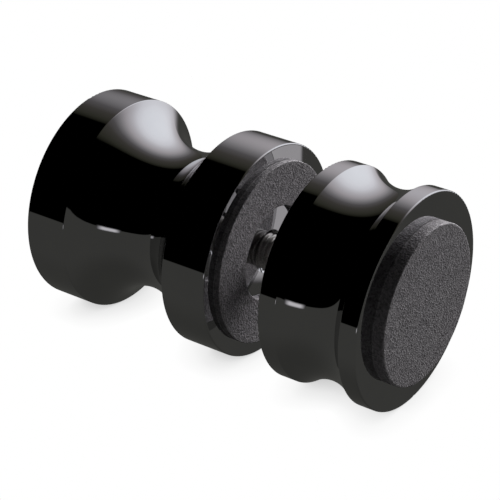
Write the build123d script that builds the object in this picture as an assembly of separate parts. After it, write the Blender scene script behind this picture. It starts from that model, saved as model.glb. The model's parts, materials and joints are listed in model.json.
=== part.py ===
from build123d import *
import math
import os

# Back-to-back shower door handle: two turned spool-shaped knobs on one axis,
# one each side of the glass. The outer knob is the long one, and the inner
# knob is short so that the door can slide behind another panel.
#
# All sizes are in millimetres. The door glass lies in the XZ plane, the knobs'
# axis runs along Y, and the origin is on that axis in the middle of the glass.
# The outer knob is on the +Y side and the inner knob with its bumper pad is on
# the -Y side.

# Glass that the handle clamps, and the play left each side before tightening
glass_thickness = 6.35
glass_play = 0.15

# Turned knobs, shared sizes
knob_diameter = 30.0
rim_round = 0.22
shoulder_round = 0.12

# Outer knob: head band, cove, base band
outer_head_width = 6.25
outer_cove_width = 16.65
outer_base_width = 6.75
outer_neck_diameter = 20.0

# Inner knob: base band, cove, head band
inner_base_width = 2.55
inner_cove_width = 9.6
inner_head_width = 2.5
inner_neck_diameter = 26.55

# Ring gaskets between the knobs and the glass
gasket_diameter = 25.6
gasket_bore_diameter = 13.2
gasket_thickness = 0.9
gasket_edge_round = 0.12

# Solid bumper pad on the inner knob's end
bumper_diameter = 22.25
bumper_thickness = 1.7
bumper_edge_round = 0.2

# Threaded stud that joins the knobs, and the tapped holes that it screws into
stud_diameter = 5.0
stud_chamfer = 0.5
thread_clearance = 0.05
outer_grip_length = 11.0
inner_grip_length = 8.0
inner_hole_spare = 1.5
hole_mouth_chamfer = 0.5
drill_point_angle = 118.0


def axial(radius, place):
    """Point of a turned profile: radius from the axis and place along Y."""
    return (radius, place)


def turned(profile):
    """Solid turned about the knobs' axis from a closed half profile."""
    return revolve(Plane.XY * profile, axis=Axis.Y)


def coved_profile(radius, neck_radius, glass_side, band_near, cove, band_far, direction):
    """Half profile of a spool: a band, a concave arc and a band.

    It starts at the face that the gasket seats on and runs away from the glass
    in the given direction along Y, so one function makes both knobs.
    """
    near_edge = glass_side + direction * band_near
    far_edge = near_edge + direction * cove
    end_face = far_edge + direction * band_far
    middle = (near_edge + far_edge) / 2
    seat_line = Line(axial(0, glass_side), axial(radius, glass_side))
    near_line = Line(seat_line @ 1, axial(radius, near_edge))
    cove_arc = ThreePointArc(near_line @ 1, axial(neck_radius, middle), axial(radius, far_edge))
    far_line = Line(cove_arc @ 1, axial(radius, end_face))
    end_line = Line(far_line @ 1, axial(0, end_face))
    axis_line = Line(end_line @ 1, seat_line @ 0)
    outline = Curve() + [seat_line, near_line, cove_arc, far_line, end_line, axis_line]
    face = make_face(outline)
    rims = face.vertices().filter_by(lambda v: is_at(v, radius, (glass_side, end_face)))
    face = fillet(rims, rim_round)
    shoulders = face.vertices().filter_by(lambda v: is_at(v, radius, (near_edge, far_edge)))
    return fillet(shoulders, shoulder_round)


def is_at(vertex, radius, places):
    """Whether a profile's corner is at this radius and at one of these places."""
    near = 1e-4
    return abs(vertex.X - radius) < near and any(abs(vertex.Y - place) < near for place in places)


def tapped_hole(mouth, depth, direction):
    """Blind hole for the stud, with a chamfered mouth and a drill-point end."""
    bore_radius = stud_diameter / 2 + thread_clearance
    point_depth = bore_radius / math.tan(math.radians(drill_point_angle / 2))
    outline = Polyline(
        axial(0, mouth),
        axial(bore_radius + hole_mouth_chamfer, mouth),
        axial(bore_radius, mouth + direction * hole_mouth_chamfer),
        axial(bore_radius, mouth + direction * depth),
        axial(0, mouth + direction * (depth + point_depth)),
        axial(0, mouth),
    )
    return turned(make_face(outline))


def disc_pad(outer_radius, bore_radius, seat, thickness, direction, edge_round):
    """Flat round pad on a knob's face, a ring where it has a bore."""
    front = seat + direction * thickness
    outline = Polyline(
        axial(bore_radius, seat),
        axial(outer_radius, seat),
        axial(outer_radius, front),
        axial(bore_radius, front),
        axial(bore_radius, seat),
    )
    face = make_face(outline)
    front_corners = face.vertices().filter_by(lambda v: is_at(v, outer_radius, (front,)))
    return turned(fillet(front_corners, edge_round))


knob_radius = knob_diameter / 2
outer_side = 1
inner_side = -1

# The gaskets' free faces stand just off the glass, and the knobs behind them
gasket_face = glass_thickness / 2 + glass_play
knob_face = gasket_face + gasket_thickness
inner_knob_length = inner_base_width + inner_cove_width + inner_head_width
inner_end = -(knob_face + inner_knob_length)

outer_blank = turned(
    coved_profile(
        knob_radius,
        outer_neck_diameter / 2,
        outer_side * knob_face,
        outer_base_width,
        outer_cove_width,
        outer_head_width,
        outer_side,
    )
)
outer_knob = outer_blank - tapped_hole(outer_side * knob_face, outer_grip_length, outer_side)

inner_blank = turned(
    coved_profile(
        knob_radius,
        inner_neck_diameter / 2,
        inner_side * knob_face,
        inner_base_width,
        inner_cove_width,
        inner_head_width,
        inner_side,
    )
)
inner_hole_depth = inner_grip_length + inner_hole_spare
inner_knob = inner_blank - tapped_hole(inner_side * knob_face, inner_hole_depth, inner_side)

outer_gasket = disc_pad(
    gasket_diameter / 2,
    gasket_bore_diameter / 2,
    outer_side * knob_face,
    gasket_thickness,
    inner_side,
    gasket_edge_round,
)
inner_gasket = disc_pad(
    gasket_diameter / 2,
    gasket_bore_diameter / 2,
    inner_side * knob_face,
    gasket_thickness,
    outer_side,
    gasket_edge_round,
)
bumper_pad = disc_pad(
    bumper_diameter / 2, 0, inner_end, bumper_thickness, inner_side, bumper_edge_round
)

# The stud bottoms in the outer knob, and the inner knob screws onto its free end
stud_length = outer_grip_length + 2 * knob_face + inner_grip_length
stud_middle = (outer_grip_length - inner_grip_length) / 2
stud_blank = Cylinder(stud_diameter / 2, stud_length, rotation=(90, 0, 0))
threaded_stud = Pos(0, stud_middle, 0) * chamfer(
    stud_blank.edges().filter_by(GeomType.CIRCLE), stud_chamfer
)

parts = {
    "outer_knob": outer_knob,
    "outer_gasket": outer_gasket,
    "threaded_stud": threaded_stud,
    "inner_gasket": inner_gasket,
    "inner_knob": inner_knob,
    "bumper_pad": bumper_pad,
}

os.makedirs("parts", exist_ok=True)
for node, solid in parts.items():
    export_step(solid, f"parts/{node}.step")
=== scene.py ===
"""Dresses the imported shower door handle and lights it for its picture.

The handle is a pair of spool-shaped knobs that clamp the door glass between two foam rubber rings.
The knobs keep the solids of the frame and get their plated finish here. The rings, the bumper pad
and the stud are modelled again, with the grain and the thread that the solids leave out.
Lengths are in metres, in the frame's own axes, unless a name ends in _mm.
"""

import json
import logging
import math
from dataclasses import dataclass, field
from enum import Enum

import bpy
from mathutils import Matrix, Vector

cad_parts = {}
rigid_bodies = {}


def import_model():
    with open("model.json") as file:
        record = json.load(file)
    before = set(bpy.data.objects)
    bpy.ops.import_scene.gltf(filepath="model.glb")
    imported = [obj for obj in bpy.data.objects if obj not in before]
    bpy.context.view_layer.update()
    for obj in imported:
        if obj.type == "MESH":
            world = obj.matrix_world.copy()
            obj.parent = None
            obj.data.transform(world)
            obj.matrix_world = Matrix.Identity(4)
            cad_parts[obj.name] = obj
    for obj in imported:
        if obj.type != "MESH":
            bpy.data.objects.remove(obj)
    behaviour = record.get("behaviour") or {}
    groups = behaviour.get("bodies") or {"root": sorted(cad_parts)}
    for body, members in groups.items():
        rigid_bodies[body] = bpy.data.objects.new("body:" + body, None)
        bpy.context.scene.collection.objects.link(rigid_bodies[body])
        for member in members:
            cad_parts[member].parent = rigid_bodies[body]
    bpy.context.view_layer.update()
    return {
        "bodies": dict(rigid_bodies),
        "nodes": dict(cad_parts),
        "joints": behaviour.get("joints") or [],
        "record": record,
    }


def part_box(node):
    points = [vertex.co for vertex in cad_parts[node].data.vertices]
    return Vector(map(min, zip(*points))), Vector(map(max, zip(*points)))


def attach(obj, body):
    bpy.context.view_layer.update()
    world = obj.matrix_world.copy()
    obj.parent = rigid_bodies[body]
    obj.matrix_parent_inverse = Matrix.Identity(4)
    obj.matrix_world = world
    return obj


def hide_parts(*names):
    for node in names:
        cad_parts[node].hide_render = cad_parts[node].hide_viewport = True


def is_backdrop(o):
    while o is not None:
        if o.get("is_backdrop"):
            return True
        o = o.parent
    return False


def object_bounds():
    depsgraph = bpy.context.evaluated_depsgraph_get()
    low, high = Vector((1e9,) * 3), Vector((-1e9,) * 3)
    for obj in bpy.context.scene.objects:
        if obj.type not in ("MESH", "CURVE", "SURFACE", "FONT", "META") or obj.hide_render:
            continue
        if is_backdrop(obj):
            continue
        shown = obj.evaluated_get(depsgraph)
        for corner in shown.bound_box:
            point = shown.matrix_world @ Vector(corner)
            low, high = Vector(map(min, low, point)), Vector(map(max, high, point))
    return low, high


MM = 0.001
ROOT_BODY = "root"
LOG = logging.getLogger("shower_door_handle")
WHITE = (1.0, 1.0, 1.0, 1.0)
BLACK = (0.0, 0.0, 0.0, 1.0)

# A Mix node's colour sockets come after those for numbers and vectors, under the same names.
MIX_SHARE = 0
MIX_FIRST = 6
MIX_SECOND = 7
MIX_RESULT = 2


class Pad(Enum):
    """The foam rubber pads, each by the name of the CAD node that it stands for."""

    OUTER_GASKET = "outer_gasket"
    INNER_GASKET = "inner_gasket"
    BUMPER = "bumper_pad"


def linear(hex_colour: str) -> tuple[float, float, float, float]:
    """Turns an sRGB hex colour into the linear colour that shaders take.

    Args:
        hex_colour: Six hex digits with a leading hash, such as "#A8A9AC".

    Returns:
        Linear red, green and blue from 0 to 1, and an alpha of 1.
    """
    parts = [int(hex_colour[i : i + 2], 16) / 255 for i in (1, 3, 5)]
    red, green, blue = (p / 12.92 if p <= 0.04045 else ((p + 0.055) / 1.055) ** 2.4 for p in parts)
    return (red, green, blue, 1.0)


def direction(azimuth_deg: float, elevation_deg: float) -> Vector:
    """Finds the unit vector at an azimuth and an elevation.

    Args:
        azimuth_deg: Counted from +X towards +Y.
        elevation_deg: Counted up from the ground.

    Returns:
        The unit vector.
    """
    turn = math.radians(azimuth_deg)
    rise = math.radians(elevation_deg)
    return Vector((math.cos(rise) * math.cos(turn), math.cos(rise) * math.sin(turn), math.sin(rise)))


def add_node(
    tree: bpy.types.NodeTree,
    kind: str,
    inputs: dict[str | int, object] | None = None,
    **settings: object,
) -> bpy.types.Node:
    """Adds one node with its settings, and links or sets its inputs.

    Args:
        tree: The shader or geometry tree that gets the node.
        kind: The node's type name.
        inputs: Socket name or number to a value, to the output socket that feeds it, or to the node
            whose first output does.
        **settings: The node's own properties.

    Returns:
        The new node.
    """
    node = tree.nodes.new(kind)
    for name, value in settings.items():
        setattr(node, name, value)
    for key, value in (inputs or {}).items():
        if isinstance(value, bpy.types.Node):
            value = value.outputs[0]
        if isinstance(value, bpy.types.NodeSocket):
            tree.links.new(value, node.inputs[key])
        else:
            node.inputs[key].default_value = value
    return node


def set_stops(node: bpy.types.Node, stops: list[tuple[float, tuple]]) -> None:
    """Gives a Color Ramp node its stops.

    Args:
        node: The node, which starts with two stops.
        stops: Position from 0 to 1 and linear colour of each stop, in order.
    """
    ramp = node.color_ramp
    while len(ramp.elements) < len(stops):
        ramp.elements.new(0.5)
    for element, (position, colour) in zip(ramp.elements, stops):
        element.position = position
        element.color = colour


def empty_material(name: str) -> tuple[bpy.types.Material, bpy.types.NodeTree, bpy.types.Node]:
    """Makes a material that holds only its output node.

    Args:
        name: The material's name.

    Returns:
        The material, its tree and its output node.
    """
    material = bpy.data.materials.new(name)
    material.use_nodes = True
    tree = material.node_tree
    tree.nodes.clear()
    return material, tree, add_node(tree, "ShaderNodeOutputMaterial")


@dataclass(frozen=True)
class Rims:
    """Where a knob's two end rims are, in metres along Y and away from it."""

    middle: float
    half_length: float
    radius: float
    round_radius: float


@dataclass(frozen=True)
class DarkChromePlate:
    """Dark chrome plate on turned and buffed brass.

    To the eye it is a dim mirror: it has almost no colour of its own, and its bands and coves show
    only what stands round it. Buffing leaves very fine rings round the axis and a thin haze that
    comes and goes, which soften a reflection a little in places.
    """

    reflected: str = "#C4C4C5"
    cloudy: str = "#BFBFC1"
    roughness: float = 0.01
    roughness_spread: float = 0.02
    cloud_mm: float = 9.0
    cloud_range: tuple[float, float] = (0.35, 0.75)
    haze_range: tuple[float, float] = (0.4, 0.8)
    # Real buffing rings are about 0.01 mm apart. These are as coarse as they need to be to show.
    ring_mm: float = 0.3
    ring_depth_mm: float = 0.00001
    # How many rim radii inwards of a rim's arc its own normal still holds.
    rim_reach: float = 3.0

    def rim_normal(
        self, tree: bpy.types.NodeTree, place: bpy.types.NodeSocket, rims: Rims
    ) -> bpy.types.NodeSocket:
        """Works out the true normal of a knob's two rounded rims.

        A rim is so narrow that the solid's facets break its thin highlight into dashes, so there
        the normal comes from the rim's own arc. Everywhere else it is the solid's.

        Args:
            tree: The material's tree.
            place: The object coordinates.
            rims: Where the rims are.

        Returns:
            The normal to shade with.
        """
        apart = add_node(tree, "ShaderNodeSeparateXYZ", {0: place}).outputs
        flat = add_node(tree, "ShaderNodeCombineXYZ", {"X": apart["X"], "Z": apart["Z"]})
        away = add_node(tree, "ShaderNodeVectorMath", {0: flat}, operation="LENGTH").outputs["Value"]
        outward = add_node(tree, "ShaderNodeVectorMath", {0: flat}, operation="NORMALIZE")
        along = add_node(tree, "ShaderNodeMath", {0: apart["Y"], 1: rims.middle}, operation="SUBTRACT")
        off_middle = add_node(tree, "ShaderNodeMath", {0: along}, operation="ABSOLUTE")
        arc_start = rims.half_length - rims.round_radius
        into_end = add_node(tree, "ShaderNodeMath", {0: off_middle, 1: arc_start}, operation="SUBTRACT")
        arc_radius = rims.radius - rims.round_radius
        into_side = add_node(tree, "ShaderNodeMath", {0: away, 1: arc_radius}, operation="SUBTRACT")
        end_share = add_node(tree, "ShaderNodeMath", {0: into_end, 1: 0.0}, operation="MAXIMUM")
        end_side = add_node(tree, "ShaderNodeMath", {0: along}, operation="SIGN")
        end_part = add_node(tree, "ShaderNodeMath", {0: end_share, 1: end_side}, operation="MULTIPLY")
        side_share = add_node(tree, "ShaderNodeMath", {0: into_side, 1: 0.0}, operation="MAXIMUM")
        side_vector = add_node(
            tree, "ShaderNodeVectorMath", {0: outward, "Scale": side_share}, operation="SCALE"
        )
        end_vector = add_node(tree, "ShaderNodeCombineXYZ", {"Y": end_part})
        whole = add_node(tree, "ShaderNodeVectorMath", {0: side_vector, 1: end_vector}, operation="ADD")
        in_world = add_node(
            tree,
            "ShaderNodeVectorTransform",
            {0: whole},
            vector_type="VECTOR",
            convert_from="OBJECT",
            convert_to="WORLD",
        )
        true_normal = add_node(tree, "ShaderNodeVectorMath", {0: in_world}, operation="NORMALIZE")
        own_normal = add_node(tree, "ShaderNodeNewGeometry").outputs["Normal"]
        inmost = -self.rim_reach * rims.round_radius
        near_end = add_node(tree, "ShaderNodeMath", {0: into_end, 1: 0.0}, operation="GREATER_THAN")
        near_side = add_node(tree, "ShaderNodeMath", {0: into_side, 1: inmost}, operation="GREATER_THAN")
        on_rim = add_node(tree, "ShaderNodeMath", {0: near_end, 1: near_side}, operation="MULTIPLY")
        return add_node(
            tree,
            "ShaderNodeMix",
            {MIX_SHARE: on_rim, MIX_FIRST: own_normal, MIX_SECOND: true_normal},
            data_type="RGBA",
        ).outputs[MIX_RESULT]

    def material(self, name: str, rims: Rims) -> bpy.types.Material:
        """Builds the plate's material, with its rings round Y.

        Args:
            name: The material's name.
            rims: Where the knob's rims are.

        Returns:
            The material.
        """
        made, tree, output = empty_material(name)
        place = add_node(tree, "ShaderNodeTexCoord").outputs["Object"]
        clouds = add_node(
            tree,
            "ShaderNodeTexNoise",
            {"Vector": place, "Scale": 1 / (self.cloud_mm * MM), "Detail": 3.0, "Roughness": 0.55},
        )
        tone = add_node(tree, "ShaderNodeValToRGB", {"Fac": clouds})
        set_stops(tone, list(zip(self.cloud_range, (linear(self.reflected), linear(self.cloudy)))))
        haze = add_node(
            tree,
            "ShaderNodeMapRange",
            {
                "Value": clouds,
                "From Min": self.haze_range[0],
                "From Max": self.haze_range[1],
                "To Min": self.roughness,
                "To Max": self.roughness + self.roughness_spread,
            },
        )
        across_rings = (0.0, 1 / (self.ring_mm * MM), 0.0)
        along = add_node(tree, "ShaderNodeMapping", {"Vector": place, "Scale": across_rings})
        rings = add_node(tree, "ShaderNodeTexNoise", {"Vector": along, "Scale": 1.0, "Detail": 2.0})
        bump = add_node(
            tree,
            "ShaderNodeBump",
            {
                "Height": rings,
                "Distance": self.ring_depth_mm * MM,
                "Strength": 1.0,
                "Normal": self.rim_normal(tree, place, rims),
            },
        )
        plate = add_node(
            tree,
            "ShaderNodeBsdfPrincipled",
            {"Base Color": tone, "Metallic": 1.0, "Roughness": haze, "Normal": bump},
        )
        tree.links.new(plate.outputs["BSDF"], output.inputs["Surface"])
        return made


@dataclass(frozen=True)
class FoamRubber:
    """Closed-cell foam rubber, cut from sheet.

    A dull dark grey with a salt-and-pepper grain: the cut cells catch light on their rims and stay
    dark inside, so a face looks speckled and a lit edge looks sparkly.
    """

    name: str
    lit: str = "#8F8C8F"
    shaded: str = "#5D5A5D"
    roughness: float = 0.5
    ior: float = 1.52
    # Real cut cells are about 0.1 mm across. These are as coarse as they need to be to show.
    cell_mm: float = 0.22
    dent_mm: float = 0.06
    blotch_mm: float = 2.2
    blotch_share: float = 0.15

    def material(self) -> bpy.types.Material:
        """Builds the foam's material.

        Returns:
            The material, with one random tone for each cut cell and wider blotches under them.
        """
        made, tree, output = empty_material(self.name)
        place = add_node(tree, "ShaderNodeTexCoord").outputs["Object"]
        cells = add_node(
            tree, "ShaderNodeTexVoronoi", {"Vector": place, "Scale": 1 / (self.cell_mm * MM)}
        ).outputs
        blotches = add_node(
            tree,
            "ShaderNodeTexNoise",
            {"Vector": place, "Scale": 1 / (self.blotch_mm * MM), "Detail": 2.0},
        )
        each_cell = add_node(tree, "ShaderNodeSeparateColor", {0: cells["Color"]})
        blotch = add_node(tree, "ShaderNodeMath", {0: blotches, 1: 0.5}, operation="SUBTRACT")
        grain = add_node(
            tree,
            "ShaderNodeMath",
            {0: blotch, 1: self.blotch_share, 2: each_cell},
            operation="MULTIPLY_ADD",
        )
        tone = add_node(
            tree,
            "ShaderNodeMix",
            {MIX_SHARE: grain, MIX_FIRST: linear(self.shaded), MIX_SECOND: linear(self.lit)},
            data_type="RGBA",
        ).outputs[MIX_RESULT]
        bump = add_node(
            tree,
            "ShaderNodeBump",
            {"Height": cells["Distance"], "Distance": self.dent_mm * MM, "Strength": 1.0},
        )
        foam = add_node(
            tree,
            "ShaderNodeBsdfPrincipled",
            {"Base Color": tone, "Roughness": self.roughness, "IOR": self.ior, "Normal": bump},
        )
        tree.links.new(foam.outputs["BSDF"], output.inputs["Surface"])
        return made


@dataclass(frozen=True)
class StainlessSteel:
    """Rolled stainless steel, as studding is sold: bright, with marks drawn out along it."""

    crest: str = "#C4C2BE"
    root: str = "#8E8C89"
    roughness: float = 0.28
    # Real drawing marks are about 0.03 mm wide. These are as coarse as they need to be to show.
    grain_mm: float = 0.12
    drawn_out: float = 5.0
    mark_range: tuple[float, float] = (0.3, 0.6)

    def material(self) -> bpy.types.Material:
        """Builds the steel's material.

        Returns:
            The material, with its marks along Y.
        """
        made, tree, output = empty_material("rolled_stainless_steel")
        place = add_node(tree, "ShaderNodeTexCoord").outputs["Object"]
        along = (1.0, 1 / self.drawn_out, 1.0)
        drawn = add_node(tree, "ShaderNodeMapping", {"Vector": place, "Scale": along})
        marks = add_node(
            tree,
            "ShaderNodeTexNoise",
            {"Vector": drawn, "Scale": 1 / (self.grain_mm * MM), "Detail": 3.0},
        )
        ramp = add_node(tree, "ShaderNodeValToRGB", {"Fac": marks})
        set_stops(ramp, list(zip(self.mark_range, (linear(self.root), linear(self.crest)))))
        steel = add_node(
            tree,
            "ShaderNodeBsdfPrincipled",
            {"Base Color": ramp, "Metallic": 1.0, "Roughness": self.roughness},
        )
        tree.links.new(steel.outputs["BSDF"], output.inputs["Surface"])
        return made


def new_object(name: str, mesh: bpy.types.Mesh) -> bpy.types.Object:
    """Links a new object that shows a mesh.

    Args:
        name: The object's name.
        mesh: The mesh that it shows.

    Returns:
        The new object, at the origin.
    """
    made = bpy.data.objects.new(name, mesh)
    bpy.context.scene.collection.objects.link(made)
    return made


def start_tree(
    name: str, sizes: tuple[str, ...]
) -> tuple[bpy.types.NodeTree, dict[str, bpy.types.NodeSocket], bpy.types.Node]:
    """Starts a geometry tree that takes a mesh, some sizes and a material.

    Args:
        name: The tree's name.
        sizes: The names of its number inputs.

    Returns:
        The tree, its inputs by name, and its output node.
    """
    tree = bpy.data.node_groups.new(name, "GeometryNodeTree")
    tree.interface.new_socket("Geometry", in_out="OUTPUT", socket_type="NodeSocketGeometry")
    tree.interface.new_socket("Geometry", in_out="INPUT", socket_type="NodeSocketGeometry")
    for size in sizes:
        tree.interface.new_socket(size, in_out="INPUT", socket_type="NodeSocketFloat")
    tree.interface.new_socket("Material", in_out="INPUT", socket_type="NodeSocketMaterial")
    given = {socket.name: socket for socket in add_node(tree, "NodeGroupInput").outputs if socket.name}
    return tree, given, add_node(tree, "NodeGroupOutput")


def end_tree(
    tree: bpy.types.NodeTree,
    shape: bpy.types.Node,
    given: dict[str, bpy.types.NodeSocket],
    output: bpy.types.Node,
) -> None:
    """Ends a geometry tree in Realize Instances and Set Material.

    Args:
        tree: The tree to end.
        shape: The node that gives the finished geometry.
        given: The tree's inputs by name.
        output: The tree's output node.
    """
    real = add_node(tree, "GeometryNodeRealizeInstances", {"Geometry": shape})
    dressed = add_node(tree, "GeometryNodeSetMaterial", {"Geometry": real, "Material": given["Material"]})
    tree.links.new(dressed.outputs[0], output.inputs[0])


def grow(
    name: str, start: bpy.types.Mesh, tree: bpy.types.NodeTree, values: dict[str, object]
) -> bpy.types.Object:
    """Runs a geometry tree on a mesh and keeps the result as a plain mesh.

    Args:
        name: The piece's name.
        start: The mesh that the tree begins with.
        tree: The geometry tree.
        values: Input name to its value.

    Returns:
        The finished piece, at the origin, with no modifier on it.
    """
    seed = new_object(name + "_start", start)
    modifier = seed.modifiers.new("grow", "NODES")
    modifier.node_group = tree
    sockets = {item.name: item.identifier for item in tree.interface.items_tree if item.in_out == "INPUT"}
    for key, value in values.items():
        modifier[sockets[key]] = value
    bpy.context.view_layer.update()
    evaluated = seed.evaluated_get(bpy.context.evaluated_depsgraph_get())
    mesh = bpy.data.meshes.new_from_object(evaluated)
    seed.modifiers.clear()
    bpy.data.objects.remove(seed)
    mesh.name = name
    mesh.shade_smooth()
    return new_object(name, mesh)


def stand_in(piece: bpy.types.Object, node: str) -> None:
    """Lets a modelled piece ride with the handle in place of its CAD node.

    Args:
        piece: The finished piece, at the origin.
        node: The CAD node that it stands for.
    """
    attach(piece, ROOT_BODY)
    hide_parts(node)
    LOG.info("%s: %d faces, stands for %s", piece.name, len(piece.data.polygons), node)


@dataclass
class Knobs:
    """The two turned knobs, whose solids already have the true spool shape."""

    nodes: tuple[str, str] = ("outer_knob", "inner_knob")
    rim_round_mm: float = 0.22
    finish: DarkChromePlate = field(default_factory=DarkChromePlate)

    def rims(self, name: str) -> Rims:
        """Finds the rims of one knob."""
        low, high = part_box(name)
        return Rims((high.y + low.y) / 2, (high.y - low.y) / 2, high.x, self.rim_round_mm * MM)

    def dress(self, frame: dict) -> None:
        """Plates both knobs.
        """
        for name in self.nodes:
            plate = self.finish.material(name + "_dark_chrome", self.rims(name))
            knob = frame["nodes"][name]
            knob.data.materials.clear()
            knob.data.materials.append(plate)
            LOG.info("%s: plated", name)


@dataclass
class FoamPad:
    """A disc or ring of foam rubber: a turned section with soft rims, and a skin dented by cut cells."""

    pad: Pad
    slot: str
    finish: FoamRubber
    front: int = -1
    bore_mm: float = 0.0
    rim_mm: float = 0.13
    foot_rim_mm: float = 0.01
    rim_steps: int = 4
    spacing_mm: float = 0.2
    clump_mm: float = 0.42
    dent_mm: float = 0.035
    seed: float = 4.0

    def section(self) -> list[tuple[float, float]]:
        """Draws the pad's outline as distances from the axis and places along it.

        Returns:
            Points in order round the section. A pad with a bore comes back to its first point,
            and a pad without one starts and ends on the axis.
        """
        low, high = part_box(self.pad.value)
        radius = (high.x - low.x) / 2
        bore = self.bore_mm * MM
        corners = [(radius, high.y, 1, 1), (radius, low.y, 1, -1)]
        if bore:
            corners += [(bore, low.y, -1, -1), (bore, high.y, -1, 1)]
        line = [] if bore else [(0.0, high.y)]
        for across, along, out, up in corners:
            rim = (self.rim_mm if up == self.front else self.foot_rim_mm) * MM
            turn = [math.pi / 2 * step / self.rim_steps for step in range(self.rim_steps + 1)]
            arc = [
                (across - out * rim * (1 - math.cos(a)), along - up * rim * (1 - math.sin(a)))
                for a in turn
            ]
            line += arc if out * up < 0 else arc[::-1]
        line.append(line[0] if bore else (0.0, low.y))
        return self.spaced(line)

    def spaced(self, line: list[tuple[float, float]]) -> list[tuple[float, float]]:
        """Divides the long runs of an outline.

        Args:
            line: The outline's points.

        Returns:
            The same outline with points no further apart than the pad's spacing.
        """
        made = [line[0]]
        for (r0, y0), (r1, y1) in zip(line, line[1:]):
            parts = max(1, math.ceil(math.hypot(r1 - r0, y1 - y0) / (self.spacing_mm * MM)))
            made += [(r0 + (r1 - r0) * k / parts, y0 + (y1 - y0) * k / parts) for k in range(1, parts + 1)]
        return made

    def turned(self) -> bpy.types.Mesh:
        """Turns the section round Y.

        Returns:
            A closed mesh with outward faces, with one point where the section meets the axis.
        """
        line = self.section()
        closed = line[0] == line[-1]
        rings = line[:-1] if closed else line
        around = round(2 * math.pi * max(r for r, _ in line) / (self.spacing_mm * MM))
        points = []
        starts = []
        for r, y in rings:
            starts.append(len(points))
            count = around if r > 0 else 1
            turns = [2 * math.pi * k / around for k in range(count)]
            points += [(r * math.cos(a), y, r * math.sin(a)) for a in turns]
        faces = []
        for number, (r, _) in enumerate(rings):
            after = (number + 1) % len(rings)
            if after == 0 and not closed:
                break
            here, there = starts[number], starts[after]
            for k in range(around):
                j = (k + 1) % around
                if r == 0:
                    faces.append((here, there + k, there + j))
                elif rings[after][0] == 0:
                    faces.append((here + k, there, here + j))
                else:
                    faces.append((here + k, there + k, there + j, here + j))
        mesh = bpy.data.meshes.new(self.pad.value + "_turned")
        mesh.from_pydata(points, [], faces)
        mesh.flip_normals()
        return mesh

    def skin_tree(self) -> bpy.types.NodeTree:
        """Builds the tree that dents a pad's skin inwards, so that it never outgrows its solid.

        Returns:
            A tree whose inputs are the dents' sizes and their seed.
        """
        tree, given, output = start_tree("cut_cells", ("Clump", "Dent", "Seed"))
        scale = add_node(tree, "ShaderNodeMath", {0: 1.0, 1: given["Clump"]}, operation="DIVIDE")
        clumps = add_node(
            tree,
            "ShaderNodeTexNoise",
            {"Scale": scale, "Detail": 2.0, "W": given["Seed"]},
            noise_dimensions="4D",
        )
        depth = add_node(tree, "ShaderNodeMath", {0: clumps, 1: given["Dent"]}, operation="MULTIPLY")
        inwards = add_node(tree, "ShaderNodeMath", {0: depth, 1: -1.0}, operation="MULTIPLY")
        normal = add_node(tree, "GeometryNodeInputNormal")
        offset = add_node(tree, "ShaderNodeVectorMath", {0: normal, "Scale": inwards}, operation="SCALE")
        dented = add_node(
            tree, "GeometryNodeSetPosition", {"Geometry": given["Geometry"], "Offset": offset}
        )
        end_tree(tree, dented, given, output)
        return tree

    def build(self) -> None:
        """Makes the pad, dresses it and puts it in its solid's place."""
        piece = grow(
            self.pad.value + "_foam",
            self.turned(),
            self.skin_tree(),
            {
                "Clump": self.clump_mm * MM,
                "Dent": self.dent_mm * MM,
                "Seed": self.seed,
                "Material": self.finish.material(),
            },
        )
        stand_in(piece, self.pad.value)


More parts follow.
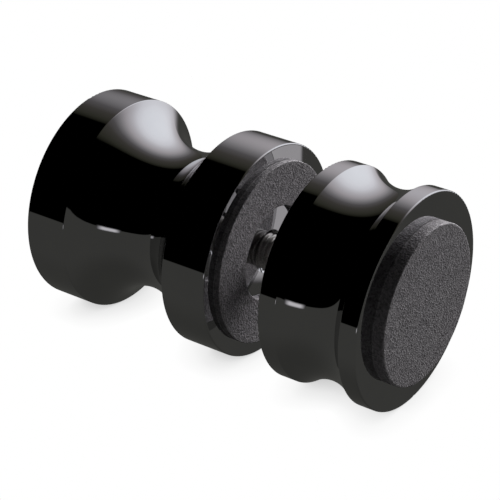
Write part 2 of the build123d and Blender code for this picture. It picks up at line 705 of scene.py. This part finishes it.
@dataclass
class ThreadedStud:
    """A length of coarse M5 studding, whose solid is a plain rod."""

    node: str = "threaded_stud"
    slot: str = "stud_steel"
    pitch_mm: float = 0.8
    thread_depth_mm: float = 0.49
    root_flat: float = 0.125
    crest_flat: float = 0.16
    chamfer_mm: float = 0.5
    around: int = 48
    steps_per_pitch: int = 10
    finish: StainlessSteel = field(default_factory=StainlessSteel)

    def tree(self, rod_steps: int) -> bpy.types.NodeTree:
        """Builds the tree that cuts the thread into a rod.

        Args:
            rod_steps: How many rings the rod has along its length.

        Returns:
            A tree whose inputs are the thread's sizes.
        """
        tree, given, output = start_tree(
            "rolled_thread", ("Radius", "Length", "Middle", "Pitch", "Depth", "Chamfer")
        )
        rod = add_node(
            tree,
            "GeometryNodeMeshCylinder",
            {
                "Vertices": self.around,
                "Side Segments": rod_steps,
                "Radius": given["Radius"],
                "Depth": given["Length"],
            },
        )
        place = add_node(tree, "GeometryNodeInputPosition")
        apart = add_node(tree, "ShaderNodeSeparateXYZ", {0: place}).outputs
        angle = add_node(tree, "ShaderNodeMath", {0: apart["Y"], 1: apart["X"]}, operation="ARCTAN2")
        turn = add_node(tree, "ShaderNodeMath", {0: angle, 1: 2 * math.pi}, operation="DIVIDE")
        pitches = add_node(tree, "ShaderNodeMath", {0: apart["Z"], 1: given["Pitch"]}, operation="DIVIDE")
        turns = add_node(tree, "ShaderNodeMath", {0: pitches, 1: turn}, operation="SUBTRACT")
        # Within one pitch the flank rises and falls in a V, with a flat crest and a flat root.
        within = add_node(tree, "ShaderNodeMath", {0: turns}, operation="FRACT")
        past_root = add_node(tree, "ShaderNodeMath", {0: within, 1: 0.5}, operation="SUBTRACT")
        off_root = add_node(tree, "ShaderNodeMath", {0: past_root}, operation="ABSOLUTE")
        flank = add_node(
            tree,
            "ShaderNodeMapRange",
            {
                "Value": off_root,
                "From Min": self.root_flat / 2,
                "From Max": (1 - self.crest_flat) / 2,
                "To Min": 1.0,
                "To Max": 0.0,
            },
        )
        cut = add_node(tree, "ShaderNodeMath", {0: flank, 1: given["Depth"]}, operation="MULTIPLY")
        half = add_node(tree, "ShaderNodeMath", {0: given["Length"], 1: 0.5}, operation="MULTIPLY")
        off_middle = add_node(tree, "ShaderNodeMath", {0: apart["Z"]}, operation="ABSOLUTE")
        from_end = add_node(tree, "ShaderNodeMath", {0: half, 1: off_middle}, operation="SUBTRACT")
        near_end = add_node(
            tree, "ShaderNodeMath", {0: given["Chamfer"], 1: from_end}, operation="SUBTRACT"
        )
        taper = add_node(tree, "ShaderNodeMath", {0: near_end, 1: 0.0}, operation="MAXIMUM")
        lost = add_node(tree, "ShaderNodeMath", {0: cut, 1: taper}, operation="MAXIMUM")
        radius = add_node(tree, "ShaderNodeMath", {0: given["Radius"], 1: lost}, operation="SUBTRACT")
        share = add_node(tree, "ShaderNodeMath", {0: radius, 1: given["Radius"]}, operation="DIVIDE")
        scale = add_node(tree, "ShaderNodeCombineXYZ", {"X": share, "Y": share, "Z": 1.0})
        where = add_node(tree, "ShaderNodeVectorMath", {0: place, 1: scale}, operation="MULTIPLY")
        threaded = add_node(tree, "GeometryNodeSetPosition", {"Geometry": rod, "Position": where})
        lift = add_node(tree, "ShaderNodeCombineXYZ", {"Y": given["Middle"]})
        laid = add_node(
            tree,
            "GeometryNodeTransform",
            {"Geometry": threaded, "Translation": lift, "Rotation": (-math.pi / 2, 0.0, 0.0)},
        )
        end_tree(tree, laid, given, output)
        return tree

    def build(self) -> None:
        """Makes the stud and puts it in its rod's place."""
        low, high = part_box(self.node)
        length = high.y - low.y
        steps = round(length / (self.pitch_mm * MM) * self.steps_per_pitch)
        piece = grow(
            "stud_thread",
            bpy.data.meshes.new("stud_start"),
            self.tree(steps),
            {
                "Radius": (high.x - low.x) / 2,
                "Length": length,
                "Middle": (high.y + low.y) / 2,
                "Pitch": self.pitch_mm * MM,
                "Depth": self.thread_depth_mm * MM,
                "Chamfer": self.chamfer_mm * MM,
                "Material": self.finish.material(),
            },
        )
        stand_in(piece, self.node)


@dataclass(frozen=True)
class CardSeen:
    """A small card that shows in the plate: its middle, its half width and height, and its tone there."""

    azimuth_deg: float
    elevation_deg: float
    half_width_deg: float
    half_height_deg: float
    shown: str
    soft_across_deg: float = 0.2
    soft_up_deg: float = 0.2
    both_sides: bool = False


@dataclass(frozen=True)
class SoftLamp:
    """A soft distant lamp that the plate doesn't mirror, as it mirrors the softbox already.

    Its strength is such that pi lights a facing surface at its own colour.
    """

    name: str
    azimuth_deg: float
    elevation_deg: float
    width_deg: float
    strength: float

    def build(self) -> None:
        """Adds the lamp, turned towards the handle."""
        data = bpy.data.lights.new(self.name, "SUN")
        data.energy = self.strength
        data.angle = math.radians(self.width_deg)
        made = bpy.data.objects.new(self.name, data)
        towards = direction(self.azimuth_deg, self.elevation_deg)
        made.rotation_euler = towards.to_track_quat("Z", "Y").to_euler()
        made.visible_glossy = False
        bpy.context.scene.collection.objects.link(made)


@dataclass
class Studio:
    """A white sweep for the camera, and the dim room with one round soft light that the plate mirrors.

    The picture shows a pure white ground, while the plate shows a dark room and a dim table. So the
    white is seen by camera and transmission rays, and glossy rays see the room instead. Its tones
    are what the metal shows, divided by what the metal reflects.
    """

    floor_size: float = 3.0
    floor_colour: str = "#7C7C7C"
    # How open the sky is above a point of the floor, and how bright the camera sees it there.
    shadow_tones: tuple[tuple[float, float], ...] = (
        (0.02, 0.2),
        (0.1, 0.6),
        (0.3, 0.82),
        (0.6, 0.935),
        (0.93, 1.0),
    )
    shadow_reach_mm: float = 4.3
    shadow_samples: int = 32
    plate_reflects: float = 0.55
    table_shown: str = "#333331"
    # The table's tone straight down, darkened by painted shade from the handle.
    table_shade_below_shown: str = "#2C2C2A"
    table_edge_deg: float = -7.8
    table_edge_soft_deg: float = 0.5
    # The table darkens between these two elevations: painted shade, standing in for the handle's shadow on
    # the table close under it.
    table_darkens_deg: tuple[float, float] = (-38.0, -80.0)
    # On the light's side, which starts and is full at these cosines, the light goes on below the
    # table's edge, and the table takes over between these two elevations.
    light_side: tuple[float, float] = (0.72, 0.9)
    light_ends_deg: tuple[float, float] = (-8.0, -14.0)
    softbox_azimuth_deg: float = -7.3
    softbox_elevation_deg: float = 20.8
    softbox_half_deg: float = 62.0
    softbox_shown: tuple[tuple[float, str], ...] = (
        (0.0, "#D2D4D9"),
        (12.0, "#CFD1D6"),
        (18.0, "#CCCDD2"),
        (24.0, "#C1C1C6"),
        (30.0, "#AAA8AC"),
        (36.0, "#949093"),
        (42.0, "#6B696B"),
        (46.0, "#4A4849"),
        (51.0, "#363431"),
        (57.5, "#282822"),
        (60.3, "#181813"),
        (61.6, "#000000"),
    )
    cards: tuple[CardSeen, ...] = (
        CardSeen(191.0, -9.2, 15.0, 2.0, "#B0AEB1", soft_across_deg=6.5, soft_up_deg=1.3),
        CardSeen(-34.5, -28.6, 1.55, 2.4, "#8B898B", soft_across_deg=0.06, both_sides=True),
    )
    ambient: float = 0.035
    lamps: tuple[SoftLamp, ...] = (
        SoftLamp("key_lamp", -3.5, 15.5, 40.0, 9.6),
        SoftLamp("back_lamp", 24.0, 20.0, 20.0, 2.4),
    )

    def shown(self, hex_colour: str) -> tuple[float, ...]:
        """Finds the room's own tone for a tone that the plate shows."""
        return tuple(channel / self.plate_reflects for channel in linear(hex_colour)[:3]) + (1.0,)

    def card(
        self, tree: bpy.types.NodeTree, ray: bpy.types.NodeSocket, seen: CardSeen
    ) -> bpy.types.Node:
        """Works out how much of a card a ray meets.

        Args:
            tree: The world's tree.
            ray: The ray's direction.
            seen: The card.

        Returns:
            A node that gives 1 where the ray meets the card, 0 elsewhere, and a share at its soft
            edges.
        """
        if seen.both_sides:
            # A ray to the far side is turned to the near side, where the card is.
            folded = add_node(tree, "ShaderNodeSeparateXYZ", {0: ray}).outputs
            off_plane = add_node(tree, "ShaderNodeMath", {0: folded["Y"]}, operation="ABSOLUTE")
            near = add_node(tree, "ShaderNodeMath", {0: off_plane, 1: -1.0}, operation="MULTIPLY")
            ray = add_node(
                tree, "ShaderNodeCombineXYZ", {"X": folded["X"], "Y": near, "Z": folded["Z"]}
            ).outputs["Vector"]
        parts = add_node(tree, "ShaderNodeSeparateXYZ", {0: ray}).outputs
        turn = add_node(tree, "ShaderNodeMath", {0: parts["Y"], 1: parts["X"]}, operation="ARCTAN2")
        azimuth = math.radians(seen.azimuth_deg)
        beside = add_node(tree, "ShaderNodeMath", {0: turn, 1: azimuth}, operation="SUBTRACT")
        wrapped = add_node(
            tree, "ShaderNodeMath", {0: beside, 1: math.pi, 2: -math.pi}, operation="WRAP"
        )
        across = add_node(tree, "ShaderNodeMath", {0: wrapped}, operation="ABSOLUTE")
        rise = add_node(tree, "ShaderNodeMath", {0: parts["Z"]}, operation="ARCSINE")
        elevation = math.radians(seen.elevation_deg)
        above = add_node(tree, "ShaderNodeMath", {0: rise, 1: elevation}, operation="SUBTRACT")
        up = add_node(tree, "ShaderNodeMath", {0: above}, operation="ABSOLUTE")
        within_width, within_height = [
            add_node(
                tree,
                "ShaderNodeMapRange",
                {
                    "Value": distance,
                    "From Min": math.radians(half + soft),
                    "From Max": math.radians(half - soft),
                },
                interpolation_type="SMOOTHSTEP",
            )
            for distance, half, soft in (
                (across, seen.half_width_deg, seen.soft_across_deg),
                (up, seen.half_height_deg, seen.soft_up_deg),
            )
        ]
        return add_node(
            tree, "ShaderNodeMath", {0: within_width, 1: within_height}, operation="MULTIPLY"
        )

    def room(self, tree: bpy.types.NodeTree) -> bpy.types.NodeSocket:
        """Builds the dim room that the plate mirrors.

        Args:
            tree: The world's tree.

        Returns:
            The room's tone in the ray's direction.
        """
        ray = add_node(tree, "ShaderNodeTexCoord").outputs["Generated"]
        middle = direction(self.softbox_azimuth_deg, self.softbox_elevation_deg)
        facing = add_node(
            tree, "ShaderNodeVectorMath", {0: ray, 1: middle}, operation="DOT_PRODUCT"
        ).outputs["Value"]
        angle = add_node(tree, "ShaderNodeMath", {0: facing}, operation="ARCCOSINE")
        reach = math.radians(self.softbox_half_deg)
        off_middle = add_node(tree, "ShaderNodeMath", {0: angle, 1: reach}, operation="DIVIDE")
        softbox = add_node(tree, "ShaderNodeValToRGB", {"Fac": off_middle})
        set_stops(
            softbox,
            [(off / self.softbox_half_deg, self.shown(tone)) for off, tone in self.softbox_shown],
        )
        height = add_node(tree, "ShaderNodeSeparateXYZ", {0: ray}).outputs["Z"]
        # This near the horizon an angle in radians stands in for its sine.
        edge = math.radians(self.table_edge_deg)
        soft = math.radians(self.table_edge_soft_deg)
        darkens = [math.sin(math.radians(angle_deg)) for angle_deg in self.table_darkens_deg]
        ends = [math.sin(math.radians(angle_deg)) for angle_deg in self.light_ends_deg]
        on_table, shade_below, on_light_side, light_over = [
            add_node(
                tree,
                "ShaderNodeMapRange",
                {"Value": value, "From Min": start, "From Max": full},
                interpolation_type="SMOOTHSTEP",
            )
            for value, start, full in (
                (height, edge + soft, edge - soft),
                (height, *darkens),
                (facing, *self.light_side),
                (height, *ends),
            )
        ]
        # Painted shade: the table is darker where a ray looks steeply down, as if in the handle's shadow.
        table = add_node(tree, "ShaderNodeValToRGB", {"Fac": shade_below})
        set_stops(table, [(0.0, self.shown(self.table_shown)), (1.0, self.shown(self.table_shade_below_shown))])
        light_left = add_node(tree, "ShaderNodeMath", {0: 1.0, 1: light_over}, operation="SUBTRACT")
        hides = add_node(tree, "ShaderNodeMath", {0: on_light_side, 1: light_left}, operation="MULTIPLY")
        bare = add_node(tree, "ShaderNodeMath", {0: 1.0, 1: hides}, operation="SUBTRACT")
        covers = add_node(tree, "ShaderNodeMath", {0: on_table, 1: bare}, operation="MULTIPLY")
        seen = add_node(
            tree,
            "ShaderNodeMix",
            {MIX_SHARE: covers, MIX_FIRST: softbox, MIX_SECOND: table},
            data_type="RGBA",
        ).outputs[MIX_RESULT]
        for card in self.cards:
            tone = add_node(
                tree,
                "ShaderNodeMix",
                {
                    MIX_SHARE: self.card(tree, ray, card),
                    MIX_FIRST: BLACK,
                    MIX_SECOND: self.shown(card.shown),
                },
                data_type="RGBA",
            ).outputs[MIX_RESULT]
            seen = add_node(
                tree,
                "ShaderNodeMix",
                {MIX_SHARE: 1.0, MIX_FIRST: seen, MIX_SECOND: tone},
                data_type="RGBA",
                blend_type="LIGHTEN",
            ).outputs[MIX_RESULT]
        return seen

    def world(self) -> None:
        """Shows white to the camera and the dim room to the plate, and lights all else plainly."""
        world = bpy.data.worlds.new("studio")
        world.use_nodes = True
        tree = world.node_tree
        tree.nodes.clear()
        output = add_node(tree, "ShaderNodeOutputWorld")
        path = add_node(tree, "ShaderNodeLightPath").outputs
        plain = (self.ambient, self.ambient, self.ambient, 1.0)
        lit = add_node(
            tree,
            "ShaderNodeMix",
            {MIX_SHARE: path["Is Glossy Ray"], MIX_FIRST: plain, MIX_SECOND: self.room(tree)},
            data_type="RGBA",
        ).outputs[MIX_RESULT]
        white_for = add_node(
            tree,
            "ShaderNodeMath",
            {0: path["Is Camera Ray"], 1: path["Is Transmission Ray"]},
            operation="MAXIMUM",
        )
        ground = add_node(
            tree,
            "ShaderNodeMix",
            {MIX_SHARE: white_for, MIX_FIRST: lit, MIX_SECOND: WHITE},
            data_type="RGBA",
        ).outputs[MIX_RESULT]
        background = add_node(tree, "ShaderNodeBackground", {"Color": ground})
        tree.links.new(background.outputs["Background"], output.inputs["Surface"])
        bpy.context.scene.world = world

    def floor(self) -> None:
        """Lays a white sheet under the handle, which keeps the soft shadow where the rims touch it."""
        made, tree, output = empty_material("white_sheet")
        open_share = add_node(
            tree,
            "ShaderNodeAmbientOcclusion",
            {"Distance": self.shadow_reach_mm * MM},
            samples=self.shadow_samples,
        ).outputs["AO"]
        shade = add_node(tree, "ShaderNodeValToRGB", {"Fac": open_share})
        set_stops(shade, [(share, (tone, tone, tone, 1.0)) for share, tone in self.shadow_tones])
        seen = add_node(tree, "ShaderNodeEmission", {"Color": shade, "Strength": 1.0})
        sheet = add_node(tree, "ShaderNodeBsdfDiffuse", {"Color": linear(self.floor_colour)})
        path = add_node(tree, "ShaderNodeLightPath").outputs
        white_for = add_node(
            tree,
            "ShaderNodeMath",
            {0: path["Is Camera Ray"], 1: path["Is Transmission Ray"]},
            operation="MAXIMUM",
        )
        both = add_node(tree, "ShaderNodeMixShader", {"Fac": white_for, 1: sheet, 2: seen})
        tree.links.new(both.outputs["Shader"], output.inputs["Surface"])
        half = self.floor_size / 2
        ground_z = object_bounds()[0][2]
        sides = ((-half, -half), (half, -half), (half, half), (-half, half))
        corners = [(x, y, ground_z) for x, y in sides]
        mesh = bpy.data.meshes.new("floor")
        mesh.from_pydata(corners, [], [(0, 1, 2, 3)])
        mesh.materials.append(made)
        ground = new_object("floor", mesh)
        ground.visible_glossy = False
        ground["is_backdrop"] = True

    def build(self) -> None:
        """Sets up the ground, the lamps and the view settings."""
        self.world()
        self.floor()
        for lamp in self.lamps:
            lamp.build()
        bpy.context.scene.view_settings.view_transform = "Standard"
        LOG.info("studio: floor, %d lamps and world", len(self.lamps))


@dataclass(frozen=True)
class PictureCamera:
    """The picture's camera: a long lens from the front left, looking 30 degrees down."""

    place_mm: tuple[float, float, float] = (-183.69, -119.94, 128.75)
    looks_at_mm: tuple[float, float, float] = (-0.434, 6.948, -0.550)
    lens_mm: float = 137.06
    sensor_mm: float = 36.0

    def build(self) -> None:
        """Adds the camera and makes it the scene's own."""
        data = bpy.data.cameras.new("picture")
        data.lens = self.lens_mm
        data.sensor_width = self.sensor_mm
        camera = bpy.data.objects.new("picture", data)
        place = Vector(self.place_mm) * MM
        camera.location = place
        sight = Vector(self.looks_at_mm) * MM - place
        camera.rotation_euler = sight.to_track_quat("-Z", "Y").to_euler()
        bpy.context.scene.collection.objects.link(camera)
        bpy.context.scene.camera = camera


def pads() -> list[FoamPad]:
    """Lists the three foam pads with the sizes that their solids don't tell.

    Returns:
        The two gaskets and the bumper.
    """
    # The gaskets' tones are a little lighter than the bumper's: painted light, making up for the light
    # that the gap between the knobs keeps from them.
    gasket = FoamRubber("gasket_foam_rubber", lit="#949194", shaded="#605D60")
    bumper = FoamRubber("bumper_foam_rubber")
    return [
        FoamPad(Pad.OUTER_GASKET, "gasket_rubber", gasket, bore_mm=6.6, rim_mm=0.12, seed=4.0),
        FoamPad(Pad.INNER_GASKET, "gasket_rubber", gasket, front=1, bore_mm=6.6, rim_mm=0.12, seed=9.0),
        FoamPad(Pad.BUMPER, "bumper_rubber", bumper, rim_mm=0.2, seed=15.0),
    ]


def main() -> None:
    """Builds and dresses every piece, then the studio and the camera."""
    logging.basicConfig(level=logging.INFO, format="%(name)s: %(message)s")
    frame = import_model()
    Knobs().dress(frame)
    for pad in pads():
        pad.build()
    ThreadedStud().build()
    Studio().build()
    PictureCamera().build()


if __name__ == "__main__":
    main()
